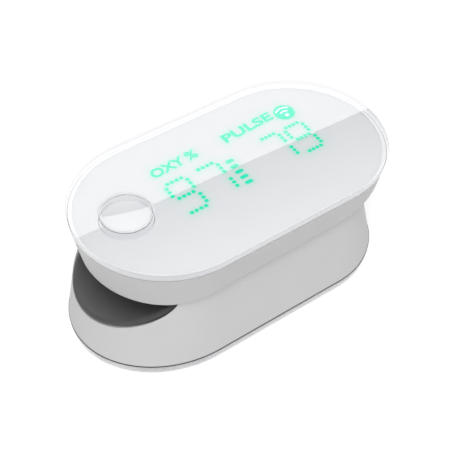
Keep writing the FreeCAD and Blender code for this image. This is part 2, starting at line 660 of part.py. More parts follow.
def upper_frame():
    low = UPPER_PLATE_BOTTOM
    high = UPPER_PLATE_TOP
    front = UPPER_PLATE_HALF + BOARD_FRONT
    plate_rear = HINGE_X + LUG_PLATE[0]
    frame = stadium(UPPER_PLATE_HALF, low, high, front, UPPER_PLATE_REAR)
    frame = frame.cut(across(plate_rear + FRAME_PLATE / 2, BEYOND, 0, ABOVE))
    frame = frame.fuse(box(plate_rear, HINGE_X + LUG_PLATE[1], -LUG_Y[1], LUG_Y[1], low, high))
    for side in (1, -1):
        y0, y1 = sorted((side * LUG_Y[0], side * LUG_Y[1]))
        frame = frame.fuse(hinge_knuckle(y0, y1, high, KNUCKLE_RADIUS))
        y0, y1 = sorted((side * SPRING_Y[0], side * SPRING_Y[1]))
        frame = frame.fuse(box(HINGE_X + 2, HINGE_X + SPRING_STOP[1], y0, y1, low, high))
        leg_top = HINGE_Z + SPRING_RADIUS + SPRING_WIRE + TOUCH
        stop_front, stop_rear = SPRING_STOP
        frame = frame.fuse(box(HINGE_X + stop_front, HINGE_X + stop_rear, y0, y1, leg_top, high))
    for x, y in BOARD_POSTS:
        frame = frame.fuse(disc(BOARD_POST_RADIUS, x, y, high - OVERLAP, BOARD_BOTTOM))
    frame = frame.cut(cross_rod(PIN_RADIUS + PIN_CLEARANCE, HINGE_X, HINGE_Z, -BESIDE, BESIDE))
    frame = frame.cut(through_hole(WINDOW_RADIUS, SENSOR_X, 0))
    for x, y in FRAME_SCREWS:
        frame = frame.cut(through_hole(FRAME_SHANK, x, y))
        frame = frame.cut(disc(FRAME_HEAD + HEAD_PLAY, x, y, 0, low + FRAME_HEAD_HEIGHT))
    return frame.removeSplitter()


def upper_pad():
    low = UPPER_PAD_BOTTOM
    high = UPPER_PLATE_BOTTOM
    front_part = stadium(UPPER_PAD_FRONT_HALF, low, high)
    front_part = front_part.common(across(-BEYOND, COLLAR_FRONT_END - PAD_STEP, low, high))
    rear_part = stadium(UPPER_PAD_REAR_HALF, low, high, -STRAIGHT, 0)
    rear_part = rear_part.common(across(-BEYOND, STOP_X, low, high))
    pad = front_part.fuse(rear_part).removeSplitter()
    axis_z = low + UPPER_CHANNEL_DEPTH - UPPER_CHANNEL_RADIUS
    roof = Part.makeCylinder(UPPER_CHANNEL_RADIUS, 2 * BEYOND, V(-BEYOND, 0, axis_z), V(1, 0, 0))
    return pad.cut(roof).cut(through_hole(WINDOW_RADIUS, SENSOR_X, 0))


def emitter_window():
    low = UPPER_PAD_BOTTOM + UPPER_CHANNEL_DEPTH + TOUCH
    return disc(WINDOW_RADIUS, SENSOR_X, 0, low, UPPER_PLATE_BOTTOM)


def emitter_led():
    return box(SENSOR_X - DIE_HALF, SENSOR_X + DIE_HALF, -DIE_HALF, DIE_HALF,
               UPPER_PLATE_BOTTOM + TOUCH, BOARD_BOTTOM)


def main_board():
    return stadium(BOARD_HALF, BOARD_BOTTOM, BOARD_TOP, BOARD_FRONT + BOARD_HALF, BOARD_REAR - BOARD_HALF)


def display_field(inset, z0, z1):
    """The display's outline on the board, moved in by inset."""
    outline = stadium(DISPLAY_HALF - inset, z0, z1, DISPLAY_ENDS[0], DISPLAY_ENDS[1])
    return outline.common(box(DISPLAY_FRONT + inset, BEYOND, DISPLAY_LOW_Y + inset, BESIDE, z0, z1))


def display_housing():
    return display_field(0, BOARD_TOP, DISPLAY_TOP).cut(display_field(DISPLAY_WALL, 0, ABOVE))


def display_diffuser():
    return display_field(DISPLAY_WALL + TOUCH, DISPLAY_TOP - DIFFUSER_THICK, DISPLAY_TOP)


def digit_points():
    """Where the dots of one seven-part digit lie about its middle: four along, three up each side."""
    half_w = DIGIT_WIDTH / 2
    half_h = DIGIT_HEIGHT / 2
    points = []
    for y in (half_h, 0, -half_h):
        points += [((i - 1.5) * DOT_STEP_X, y) for i in range(4)]
    for x in (-half_w, half_w):
        for i in (1, 2, 3):
            step = half_h * (i / 4 + DOT_RISE)
            points += [(x, step), (x, -step)]
    return points


def display_leds():
    """One small emitter under each dot and two under each bar."""
    dies = []
    for middle_x, middle_y, pitch, scale in NUMBERS:
        for digit in (0, 1):
            for x, y in digit_points():
                lean = DIGIT_SLANT * y
                dies.append((middle_x + digit * pitch + (x + lean) * scale, middle_y + y * scale))
    for i in range(BARS):
        y = BAR_MIDDLE_Y + (i - (BARS - 1) / 2) * BAR_STEP
        dies += [(BAR_X - BAR_EMITTER_X, y), (BAR_X + BAR_EMITTER_X, y)]
    half = EMITTER_HALF
    top = BOARD_TOP + EMITTER_HEIGHT
    return Part.makeCompound([box(x - half, x + half, y - half, y + half, BOARD_TOP, top) for x, y in dies])


def processor_chip():
    front, rear = PROCESSOR
    return box(front, rear, -PROCESSOR_HALF, PROCESSOR_HALF, BOARD_TOP, BOARD_TOP + PROCESSOR_HEIGHT)


def radio_module():
    return box(RADIO[0], RADIO[1], RADIO_Y[0], RADIO_Y[1], BOARD_TOP, BOARD_TOP + RADIO_HEIGHT)


def upper_connector():
    return connector(RIBBON_X - RIBBON_SWEEP, BOARD_BOTTOM - CONNECTOR_HEIGHT)


def frame_screws():
    low = UPPER_PLATE_BOTTOM + HEAD_SUNK
    high = UPPER_PLATE_BOTTOM + FRAME_HEAD_HEIGHT
    return Part.makeCompound([screw(x, y, low, high, FRAME_TIP, FRAME_HEAD, FRAME_SHANK)
                              for x, y in FRAME_SCREWS])


PIECES = [base_cover, bottom_tray, lower_shell, lower_frame, lower_pad, detector_window, photodiode,
          sensor_board, battery, battery_foam, charge_board, charging_socket, lower_connector, case_screws,
          hinge_pin, torsion_spring_left, torsion_spring_right, hinge_ribbon,
          upper_shell, display_mask, top_cover, upper_frame, upper_pad, emitter_window, emitter_led,
          main_board, display_housing, display_diffuser, display_leds, processor_chip, radio_module,
          upper_connector, switch_base, switch_dome, frame_screws, button_cap, button_stem]

for piece in PIECES:
    save(piece.__name__, piece())
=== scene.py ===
import json
import math
import bpy
import bmesh
from mathutils import Matrix, Vector
from mathutils.bvhtree import BVHTree


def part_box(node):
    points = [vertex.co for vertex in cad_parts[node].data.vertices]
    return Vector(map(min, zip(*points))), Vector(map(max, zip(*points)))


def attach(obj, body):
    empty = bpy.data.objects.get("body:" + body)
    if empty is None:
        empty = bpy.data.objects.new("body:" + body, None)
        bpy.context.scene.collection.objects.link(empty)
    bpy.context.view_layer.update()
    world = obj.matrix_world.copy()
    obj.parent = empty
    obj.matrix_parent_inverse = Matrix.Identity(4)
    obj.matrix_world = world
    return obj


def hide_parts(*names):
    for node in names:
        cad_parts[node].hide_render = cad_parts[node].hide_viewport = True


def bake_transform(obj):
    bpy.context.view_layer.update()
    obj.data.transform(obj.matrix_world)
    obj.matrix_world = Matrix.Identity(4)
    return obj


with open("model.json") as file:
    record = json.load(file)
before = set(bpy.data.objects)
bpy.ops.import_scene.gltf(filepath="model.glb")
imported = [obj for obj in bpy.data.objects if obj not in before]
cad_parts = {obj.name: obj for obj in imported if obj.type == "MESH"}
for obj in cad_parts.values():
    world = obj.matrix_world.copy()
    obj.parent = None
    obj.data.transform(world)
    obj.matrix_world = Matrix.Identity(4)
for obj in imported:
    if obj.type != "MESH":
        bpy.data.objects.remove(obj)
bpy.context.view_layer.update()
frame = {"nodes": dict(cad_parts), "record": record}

MM = 0.001
SLIVER = 0.0001 * MM                         # points closer than this are one point
PLAY = 0.02 * MM                             # keeps a piece just clear of what it sits in

# ---------------------------------------------------------------- places read from the frame
COVER_LOW, COVER_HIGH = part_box("top_cover")
TOP_Z = COVER_HIGH.z
COVER_BOTTOM = COVER_LOW.z
TOP_HALF = COVER_HIGH.y
TOP_MIDDLE_X = (COVER_LOW.x + COVER_HIGH.x) / 2
STRAIGHT = (COVER_HIGH.x - COVER_LOW.x) / 2 - TOP_HALF
BUTTON_LOW, BUTTON_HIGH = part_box("button_cap")
BUTTON_X = (BUTTON_LOW.x + BUTTON_HIGH.x) / 2
BUTTON_Y = (BUTTON_LOW.y + BUTTON_HIGH.y) / 2
MASK_LOW, MASK_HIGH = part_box("display_mask")

# ---------------------------------------------------------------- camera
AZIMUTH = math.radians(-37.02)
ELEVATION = math.radians(46.35)
ROLL = math.radians(1.53)
CAMERA_DISTANCE = 187.2 * MM
CAMERA_TARGET = Vector((TOP_MIDDLE_X - 2.39 * MM, -1.50 * MM, 14.0 * MM))
CAMERA_LENS = 82.4
SENSOR_WIDTH = 36.0
CLIP_NEAR = 0.01
CLIP_FAR = 10.0


def view_back(azimuth, elevation):
    """Unit vector from the object to a camera at this azimuth and elevation."""
    flat = math.cos(elevation)
    return Vector((math.sin(azimuth) * flat, -math.cos(azimuth) * flat, math.sin(elevation)))


def make_camera():
    data = bpy.data.cameras.new("camera")
    data.lens = CAMERA_LENS
    data.sensor_width = SENSOR_WIDTH
    data.clip_start = CLIP_NEAR
    data.clip_end = CLIP_FAR
    camera = bpy.data.objects.new("camera", data)
    bpy.context.scene.collection.objects.link(camera)
    back = view_back(AZIMUTH, ELEVATION)
    level_right = Vector((0, 0, 1)).cross(back).normalized()
    level_up = back.cross(level_right)
    right = level_right * math.cos(ROLL) + level_up * math.sin(ROLL)
    up = level_up * math.cos(ROLL) - level_right * math.sin(ROLL)
    turn = Matrix((right, up, back)).transposed().to_4x4()
    camera.matrix_world = Matrix.Translation(CAMERA_TARGET + back * CAMERA_DISTANCE) @ turn
    bpy.context.scene.camera = camera


# ---------------------------------------------------------------- materials

def new_material(name, colour, roughness, **settings):
    mat = bpy.data.materials.new(name)
    mat.use_nodes = True
    shader = mat.node_tree.nodes["Principled BSDF"]
    shader.inputs["Base Color"].default_value = (*colour, 1.0)
    shader.inputs["Roughness"].default_value = roughness
    for key, value in settings.items():
        shader.inputs[key.replace("_", " ")].default_value = value
    return mat


def object_noise(mat, size, detail=2.0, stretch=(1.0, 1.0, 1.0)):
    """A noise node in the object's own space, with features about size metres across."""
    nodes = mat.node_tree.nodes
    links = mat.node_tree.links
    place = nodes.new("ShaderNodeTexCoord")
    scaling = nodes.new("ShaderNodeMapping")
    scaling.inputs["Scale"].default_value = stretch
    noise = nodes.new("ShaderNodeTexNoise")
    noise.inputs["Scale"].default_value = 1.0 / size
    noise.inputs["Detail"].default_value = detail
    links.new(place.outputs["Object"], scaling.inputs["Vector"])
    links.new(scaling.outputs["Vector"], noise.inputs["Vector"])
    return noise


def add_mottling(mat, colour, amount, size):
    """Slightly lighter and darker patches of the base colour."""
    nodes = mat.node_tree.nodes
    links = mat.node_tree.links
    noise = object_noise(mat, size, 4.0)
    ramp = nodes.new("ShaderNodeValToRGB")
    ramp.color_ramp.elements[0].position = 0.3
    ramp.color_ramp.elements[1].position = 0.7
    ramp.color_ramp.elements[0].color = (*[c * (1 - amount) for c in colour], 1.0)
    ramp.color_ramp.elements[1].color = (*[min(1.0, c * (1 + amount)) for c in colour], 1.0)
    links.new(noise.outputs["Fac"], ramp.inputs["Fac"])
    links.new(ramp.outputs["Color"], nodes["Principled BSDF"].inputs["Base Color"])


def add_grain(mat, size, depth, roughness, spread, stretch=(1.0, 1.0, 1.0)):
    """Fine surface texture: a bump depth metres high and a roughness that varies by spread."""
    nodes = mat.node_tree.nodes
    links = mat.node_tree.links
    noise = object_noise(mat, size, 3.0, stretch)
    bump = nodes.new("ShaderNodeBump")
    bump.inputs["Distance"].default_value = depth
    links.new(noise.outputs["Fac"], bump.inputs["Height"])
    links.new(bump.outputs["Normal"], nodes["Principled BSDF"].inputs["Normal"])
    level = nodes.new("ShaderNodeMapRange")
    level.inputs["To Min"].default_value = roughness - spread
    level.inputs["To Max"].default_value = roughness + spread
    links.new(noise.outputs["Fac"], level.inputs["Value"])
    links.new(level.outputs["Result"], nodes["Principled BSDF"].inputs["Roughness"])


def moulded(name, colour, roughness, grain=0.25 * MM, depth=0.01 * MM, mottle=0.02, **settings):
    """Moulded plastic or rubber: even colour, fine grain from the mould."""
    mat = new_material(name, colour, roughness, **settings)
    add_mottling(mat, colour, mottle, 6 * MM)
    add_grain(mat, grain, depth, roughness, 0.05)
    return mat


HOLE_REACH = 6.5 * MM                        # takes in the cover's hole round the button
ACRYLIC_IOR = 1.49
POLISH = 0.012
POLISH_SPREAD = 0.008
RIPPLE_SIZE = 4 * MM
RIPPLE_DEPTH = 0.0008 * MM
EDGE_BLEND = 0.35


def unshaded_share(mat, side):
    """1 on level faces and near the button, 0 on upright faces elsewhere, where the walls take their painted
    shade.
    """
    nodes = mat.node_tree.nodes
    links = mat.node_tree.links
    axes = nodes.new("ShaderNodeSeparateXYZ")
    links.new(side.outputs["True Normal"], axes.inputs[0])
    level = nodes.new("ShaderNodeMath")
    level.operation = "ABSOLUTE"
    links.new(axes.outputs["Z"], level.inputs[0])
    place = nodes.new("ShaderNodeTexCoord")
    reach = nodes.new("ShaderNodeVectorMath")
    reach.operation = "DISTANCE"
    reach.inputs[1].default_value = (BUTTON_X, BUTTON_Y, TOP_Z)
    links.new(place.outputs["Object"], reach.inputs[0])
    inside = nodes.new("ShaderNodeMath")
    inside.operation = "LESS_THAN"
    inside.inputs[1].default_value = HOLE_REACH
    links.new(reach.outputs["Value"], inside.inputs[0])
    share = nodes.new("ShaderNodeMath")
    share.operation = "MAXIMUM"
    links.new(level.outputs[0], share.inputs[0])
    links.new(inside.outputs[0], share.inputs[1])
    return share


def clear_plastic(name, tint, grazing_shade, wall_shade):
    """Polished clear plastic: tinted tint face on and grazing_shade edge on, a painted shade for the grey
    that refraction gives glass edges;
    its upright walls take wall_shade, a painted shade for their darker look, save within HOLE_REACH of the
    button's middle."""
    mat = new_material(name, (0.0, 0.0, 0.0), POLISH, IOR=ACRYLIC_IOR)
    nodes = mat.node_tree.nodes
    links = mat.node_tree.links
    add_grain(mat, RIPPLE_SIZE, RIPPLE_DEPTH, POLISH, POLISH_SPREAD)
    side = nodes.new("ShaderNodeNewGeometry")
    share = unshaded_share(mat, side)
    facing = nodes.new("ShaderNodeLayerWeight")
    facing.inputs["Blend"].default_value = EDGE_BLEND
    edge = nodes.new("ShaderNodeValToRGB")
    edge.color_ramp.elements[0].color = (*tint, 1.0)
    edge.color_ramp.elements[1].color = (*grazing_shade, 1.0)
    links.new(facing.outputs["Facing"], edge.inputs["Fac"])
    front = nodes.new("ShaderNodeAddShader")
    links.new(wall_mix(mat, share, wall_shade, edge.outputs["Color"]), front.inputs[0])
    links.new(nodes["Principled BSDF"].outputs[0], front.inputs[1])
    mix = nodes.new("ShaderNodeMixShader")
    links.new(side.outputs["Backfacing"], mix.inputs[0])
    links.new(front.outputs[0], mix.inputs[1])
    links.new(wall_mix(mat, share, wall_shade, None), mix.inputs[2])
    links.new(mix.outputs[0], nodes["Material Output"].inputs["Surface"])
    return mat


def wall_mix(mat, share, wall_shade, flat_colour):
    """A transparent shader: the painted shade wall_shade where share is 0, and flat_colour (or clear) where
    it is 1.
    """
    nodes = mat.node_tree.nodes
    links = mat.node_tree.links
    colour = nodes.new("ShaderNodeMix")
    colour.data_type = "RGBA"
    colour.inputs["A"].default_value = (*wall_shade, 1.0)
    colour.inputs["B"].default_value = (1.0, 1.0, 1.0, 1.0)
    if flat_colour:
        links.new(flat_colour, colour.inputs["B"])
    links.new(share.outputs[0], colour.inputs["Factor"])
    through = nodes.new("ShaderNodeBsdfTransparent")
    links.new(colour.outputs["Result"], through.inputs["Color"])
    return through.outputs[0]


def brushed_steel(name, roughness):
    colour = (0.62, 0.62, 0.63)
    mat = new_material(name, colour, roughness, Metallic=1.0)
    add_mottling(mat, colour, 0.06, 1 * MM)
    add_grain(mat, 0.12 * MM, 0.004 * MM, roughness, 0.1, (1.0, 0.15, 1.0))
    return mat


def glowing(name, colour, light, strength):
    """A lit surface, a little uneven like a real emitter's."""
    mat = new_material(name, colour, 0.4, Specular_IOR_Level=0.0)
    shader = mat.node_tree.nodes["Principled BSDF"]
    add_mottling(mat, colour, 0.05, 0.4 * MM)
    add_grain(mat, 0.3 * MM, 0.005 * MM, 0.4, 0.05)
    shader.inputs["Emission Color"].default_value = (*light, 1.0)
    shader.inputs["Emission Strength"].default_value = strength
    return mat


LOWER_GREY = (0.475, 0.475, 0.475)
# the upper shell is the lower shell's plastic; its darker grey is painted shade for the band that faces down,
# away from the light
UPPER_SHADED_GREY = (0.42, 0.42, 0.42)
COVER_WHITE = (0.80, 0.805, 0.815)
COVER_TINT = (0.97, 0.975, 0.98)
BUTTON_WHITE = (0.61, 0.615, 0.63)
MARK_GREEN = (0.01, 0.25, 0.14)
MARK_LIGHT = (0.022, 1.0, 0.64)

MATERIALS = {
    # each clear plastic: its tint face on, then the painted shade of its edges seen edge on, then the painted
    # shade of its upright walls
    "clear_acrylic": clear_plastic("clear_acrylic", COVER_TINT, (0.72, 0.73, 0.74), (0.72, 0.72, 0.73)),
    "button_acrylic": clear_plastic("button_acrylic", COVER_TINT, (0.93, 0.93, 0.935), (0.98, 0.98, 0.98)),
    "base_acrylic": clear_plastic("base_acrylic", (0.88, 0.885, 0.89), (0.5, 0.51, 0.52), (0.8, 0.8, 0.81)),
    "white_plastic": moulded("white_plastic", COVER_WHITE, 0.35, mottle=0.006),
    "shell_plastic": moulded("shell_plastic", LOWER_GREY, 0.5, 0.3 * MM, 0.012 * MM, 0.012),
    "upper_shell_shaded_plastic": moulded("upper_shell_shaded_plastic", UPPER_SHADED_GREY, 0.5, 0.3 * MM, 0.012 * MM, 0.012),
    "button_white": moulded("button_white", BUTTON_WHITE, 0.35, mottle=0.006),
    "frame_plastic": moulded("frame_plastic", (0.7, 0.7, 0.69), 0.45),
    "dark_silicone": moulded("dark_silicone", (0.055, 0.055, 0.057), 0.6, 0.35 * MM, 0.02 * MM, 0.1),
    "window_plastic": moulded("window_plastic", (0.6, 0.66, 0.72), 0.12, depth=0.002 * MM),
    "chip_black": moulded("chip_black", (0.02, 0.02, 0.021), 0.5, mottle=0.2),
    "board_green": moulded("board_green", (0.015, 0.16, 0.06), 0.35, 0.5 * MM, 0.01 * MM, 0.25),
    "cell_foil": moulded("cell_foil", (0.62, 0.62, 0.64), 0.3, 1.2 * MM, 0.05 * MM, 0.08, Metallic=0.9),
    "grey_foam": moulded("grey_foam", (0.2, 0.2, 0.21), 0.95, 0.4 * MM, 0.12 * MM, 0.3),
    "plated_steel": brushed_steel("plated_steel", 0.3),
    "ribbon_amber": moulded("ribbon_amber", (0.5, 0.22, 0.03), 0.3, 0.8 * MM, 0.01 * MM, 0.15),
    "display_glow": glowing("display_glow", MARK_GREEN, MARK_LIGHT, 0.62),
    "pale_mark": glowing("pale_mark", (0.5, 0.6, 0.58), (0.75, 1.0, 0.95), 0.6),
    # painted shade: the dark ring inside the button cap's top edge
    "painted_edge_shade": moulded("painted_edge_shade", (0.12, 0.12, 0.122), 0.6, mottle=0.05),
    # painted shade for the shadow in the seam above the base plate
    "painted_seam_shade": moulded("painted_seam_shade", (0.02, 0.02, 0.021), 0.7, mottle=0.2),
}
# nodes that need a material of their own: the base plate's clear plastic, and for the upper shell a darker
# copy of the shell plastic, which is painted shade; the others take the material of their slot
OWN_MATERIAL = {"base_cover": "base_acrylic", "upper_shell": "upper_shell_shaded_plastic"}


def dress_cad_nodes():
    slots = {s["node"]: s["material_slot"] for s in frame["record"]["subparts"]}
    for name, obj in frame["nodes"].items():
        obj.data.materials.clear()
        obj.data.materials.append(MATERIALS[OWN_MATERIAL.get(name, slots[name])])


# ---------------------------------------------------------------- mesh helpers

def link_mesh(name, bm, material, body, smooth=True):
    mesh = bpy.data.meshes.new(name)
    bmesh.ops.recalc_face_normals(bm, faces=bm.faces[:])
    bm.to_mesh(mesh)
    bm.free()
    for poly in mesh.polygons:
        poly.use_smooth = smooth
    obj = bpy.data.objects.new(name, mesh)
    bpy.context.scene.collection.objects.link(obj)
    mesh.materials.append(material)
    if body:
        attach(obj, body)
    return obj


def half_angle(count, low=-math.pi / 2, high=math.pi / 2):
    """Evenly spaced angles, over half a turn unless told otherwise."""
    return [low + (high - low) * i / (count - 1) for i in range(count)]


def spin_profile(bm, profile, x, y, steps=96):
    """Turns a profile of (radius, z) about a vertical line; a point at radius 0 closes to one vertex."""
    rings = []
    for radius, z in profile:
        if radius < 1e-9:
            rings.append([bm.verts.new((x, y, z))])
            continue
        turn = [2 * math.pi * i / steps for i in range(steps)]
        rings.append([bm.verts.new((x + radius * math.cos(a), y + radius * math.sin(a), z)) for a in turn])
    for low, high in zip(rings, rings[1:]):
        for i in range(steps):
            j = (i + 1) % steps
            corners = [low[i % len(low)], low[j % len(low)], high[j % len(high)], high[i % len(high)]]
            unique = list(dict.fromkeys(corners))
            if len(unique) > 2:
                bm.faces.new(unique)


# ---------------------------------------------------------------- button

BUTTON_RADIUS = 4.63 * MM
BUTTON_EDGE = 0.22 * MM
DISH_RADIUS = 55 * MM
DISH_RIM = 0.25 * MM
DISH_STEPS = 14
EDGE_STEPS = 6
FLANGE_HEIGHT = 0.5 * MM
FLANGE_BEVEL = 0.1 * MM


def dish_profile(radius, top, sphere):
    """Shallow dish from the rim to the middle, part of a sphere."""
    points = []
    sag = sphere - math.sqrt(sphere ** 2 - radius ** 2)
    for i in range(DISH_STEPS + 1):
        r = radius * (1 - i / DISH_STEPS)
        points.append((r, top - sag + (sphere - math.sqrt(sphere ** 2 - r ** 2))))
    return points


def make_button():
    bm = bmesh.new()
    bottom = BUTTON_LOW.z
    flange = (BUTTON_HIGH.x - BUTTON_LOW.x) / 2
    top = bottom + FLANGE_HEIGHT
    shoulder = TOP_Z - BUTTON_EDGE
    profile = [(0, bottom), (flange - FLANGE_BEVEL, bottom), (flange, bottom + FLANGE_BEVEL)]
    profile += [(flange, top - FLANGE_BEVEL), (flange - FLANGE_BEVEL, top)]
    profile += [(BUTTON_RADIUS, top), (BUTTON_RADIUS, shoulder)]
    for i in range(1, EDGE_STEPS + 1):
        a = math.pi / 2 * i / EDGE_STEPS
        r = BUTTON_RADIUS - BUTTON_EDGE * (1 - math.cos(a))
        profile.append((r, shoulder + BUTTON_EDGE * math.sin(a)))
    profile += dish_profile(BUTTON_RADIUS - BUTTON_EDGE - DISH_RIM, TOP_Z, DISH_RADIUS)
    spin_profile(bm, profile, BUTTON_X, BUTTON_Y)
    button = link_mesh("button_dished_cap", bm, MATERIALS["button_acrylic"], "button")
    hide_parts("button_cap")


PANEL_HOLE = BUTTON_RADIUS + 0.12 * MM
CORE_RADIUS = PANEL_HOLE - 0.03 * MM         # a collar just inside the panel's hole
CORE_EDGE = 0.15 * MM
EDGE_LINE = 0.08 * MM
EDGE_LINE_INSET = 0.04 * MM


def make_button_core():
    """White core inside the clear cap, up to the level of the panel around it."""
    bm = bmesh.new()
    low = BUTTON_LOW.z + PLAY
    high = MASK_HIGH.z - PLAY
    rim = CORE_RADIUS - CORE_EDGE
    shoulder = high - CORE_EDGE
    profile = [(0, low), (CORE_RADIUS, low), (CORE_RADIUS, shoulder)]
    profile += [(rim + CORE_EDGE * math.cos(a), shoulder + CORE_EDGE * math.sin(a)) for a in half_angle(6, 0)]
    profile += [(CORE_RADIUS / 2, high), (0, high)]
    spin_profile(bm, profile, BUTTON_X, BUTTON_Y)
    core = link_mesh("button_core", bm, MATERIALS["button_white"], "button", smooth=False)


def make_button_shade_ring():
    """Thin dark ring inside the cap's top edge: painted shade where a clear disc turns the light away."""
    outer = BUTTON_RADIUS - EDGE_LINE_INSET
    inner = outer - EDGE_LINE
    high = TOP_Z - BUTTON_EDGE
    low = high - EDGE_LINE
    bm = bmesh.new()
    profile = [(outer, low), (outer, high), (inner, high), (inner, low), (outer, low)]
    spin_profile(bm, profile, BUTTON_X, BUTTON_Y)
    bmesh.ops.remove_doubles(bm, verts=bm.verts[:], dist=SLIVER)
    line = link_mesh("button_edge_shade", bm, MATERIALS["painted_edge_shade"], "button", smooth=False)


def outline_loop(front_reach, rear_reach, half, z, steps=48):
    """Straight sides joined by half ellipses about the ends of the straight sides, as points all round."""
    rear_x = TOP_MIDDLE_X + STRAIGHT
    front_x = TOP_MIDDLE_X - STRAIGHT
    rear = [(rear_x + rear_reach * math.cos(a), half * math.sin(a), z) for a in half_angle(steps)]
    front = [(front_x - front_reach * math.cos(a), -half * math.sin(a), z) for a in half_angle(steps)]
    return rear + front


def loft(bm, loops, close_ends=True):
    """Joins closed loops of equally many points, and caps the first and the last."""
    rings = [[bm.verts.new(p) for p in loop] for loop in loops]
    count = len(rings[0])
    for low, high in zip(rings, rings[1:]):
        for i in range(count):
            j = (i + 1) % count
            bm.faces.new((low[i], low[j], high[j], high[i]))
    if close_ends:
        bm.faces.new(rings[0][::-1])
        bm.faces.new(rings[-1])


def ring_strip(bm, outer, inner, low, high, reach_front, reach_rear, half):
    """A flat closed band that follows the outline, from outer inside it to inner inside it."""
    loops = []
    for inset, z in ((outer, low), (outer, high), (inner, high), (inner, low), (outer, low)):
        loops.append(outline_loop(reach_front - inset, reach_rear - inset, half - inset, z))
    loft(bm, loops, close_ends=False)
    bmesh.ops.remove_doubles(bm, verts=bm.verts[:], dist=SLIVER)


# ---------------------------------------------------------------- cover print and base seam

BASE_LOW, BASE_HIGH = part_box("base_cover")
BASE_FRONT_REACH = TOP_MIDDLE_X - STRAIGHT - BASE_LOW.x
BASE_REAR_REACH = BASE_HIGH.x - TOP_MIDDLE_X - STRAIGHT
BASE_HALF = BASE_HIGH.y
SHELL_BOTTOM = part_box("lower_shell")[0].z
BORDER_INSET = 0.32 * MM
BORDER_OVERLAP = 0.15 * MM
BORDER_THICK = 0.03 * MM
PRINT_GAP = 0.01 * MM
SEAM_OUTER = 0.03 * MM
SEAM_INNER = 0.38 * MM
PLUG_RADIUS = 1.5 * MM
PLUG_HEIGHT = 0.2 * MM
PLUG_BEVEL = 0.05 * MM


def make_cover_border():
    """The white border printed under the clear cover, round the display panel."""
    bm = bmesh.new()
    low = COVER_BOTTOM + PRINT_GAP
    inner = TOP_HALF - MASK_HIGH.y + BORDER_OVERLAP
    ring_strip(bm, BORDER_INSET, inner, low, low + BORDER_THICK, TOP_HALF, TOP_HALF, TOP_HALF)
    border = link_mesh("cover_border_print", bm, MATERIALS["white_plastic"], "jaw", smooth=False)


def make_seam_shade_ring():
    """A dark ring in the seam between the clear base plate and the lower shell: painted shade for the shadow
    in that gap.
    """
    bm = bmesh.new()
    low = BASE_HIGH.z + PRINT_GAP
    high = SHELL_BOTTOM - PRINT_GAP
    ring_strip(bm, SEAM_OUTER, SEAM_INNER, low, high, BASE_FRONT_REACH, BASE_REAR_REACH, BASE_HALF)
    shaded_seam = link_mesh("base_seam_shade", bm, MATERIALS["painted_seam_shade"], "base", smooth=False)


def make_screw_covers():
    """White plugs over the screw heads, flush with the tray that shows through the base plate."""
    screws = frame["nodes"]["case_screws"].data
    places = {}
    for vert in screws.vertices:
        places.setdefault((vert.co.x > TOP_MIDDLE_X, vert.co.y > 0), []).append(vert.co)
    bm = bmesh.new()
    low = BASE_HIGH.z + PRINT_GAP
    for points in places.values():
        x = (min(p.x for p in points) + max(p.x for p in points)) / 2
        y = (min(p.y for p in points) + max(p.y for p in points)) / 2
        profile = [(0, low + PLUG_HEIGHT), (PLUG_RADIUS, low + PLUG_HEIGHT)]
        profile += [(PLUG_RADIUS, low + PLUG_BEVEL), (PLUG_RADIUS - PLUG_BEVEL, low), (0, low)]
        spin_profile(bm, profile, x, y, 32)
    covers = link_mesh("screw_covers", bm, MATERIALS["white_plastic"], "base", smooth=False)


# ---------------------------------------------------------------- display

DOT_RADIUS = 0.38 * MM
DOT_DOME = 0.03 * MM
LIGHT_Z = COVER_BOTTOM + 0.02 * MM
LIGHT_SKIRT = 0.005 * MM                     # half the height of a mark's upright side
DIGIT_SLANT = 0.042
DIGITS = [
    # middle x, middle y, scale, number shown
    (TOP_MIDDLE_X - 9.5 * MM, 0.35 * MM, 1.0, 9),
    (TOP_MIDDLE_X - 2.93 * MM, 0.35 * MM, 1.0, 7),
    (TOP_MIDDLE_X + 11.2 * MM, 0.7 * MM, 0.91, 7),
    (TOP_MIDDLE_X + 16.7 * MM, 0.7 * MM, 0.91, 9),
]
DIGIT_HALF_WIDTH = 2.2 * MM
DIGIT_HALF_HEIGHT = 4.05 * MM
DOT_STEP = 0.97 * MM
DOTS_IN_ROW = 4
DOTS_IN_COLUMN = 3
COLUMN_LIFT = 0.02
# the lit rows, 1 for the top one and -1 for the foot, and the lit half columns, as (side, half)
ROWS_LIT = {9: (1, 0, -1), 7: (1,)}
COLUMNS_LIT = {9: ((-1, 1), (1, 1), (1, -1)), 7: ((1, 1), (1, -1))}
BAR_X = TOP_MIDDLE_X + 1.54 * MM
BAR_MIDDLE_Y = -0.08 * MM
BAR_STEP = 1.54 * MM
BAR_COUNT = 5
BAR_LENGTH = 1.6 * MM
BAR_WIDTH = 0.76 * MM
BAR_BEVEL = 0.08 * MM
BADGE_X = TOP_MIDDLE_X + 18.0 * MM
BADGE_Y = 8.05 * MM
BADGE_RADIUS = 2.0 * MM
LABELS = [
    # piece, text, left end x, baseline y, width
    ("oxygen_label", "OXY %", TOP_MIDDLE_X - 11.8 * MM, 6.75 * MM, 9.8 * MM),
    ("pulse_label", "PULSE", TOP_MIDDLE_X + 4.1 * MM, 7.2 * MM, 11.3 * MM),
]
LABEL_TILT = 0.055
LABEL_HEIGHT = 2.2 * MM
# in the letters' own units, before they are stretched
LETTER_WEIGHT = 0.022
LETTER_DEPTH = 0.01
LETTER_WELD = 1e-5


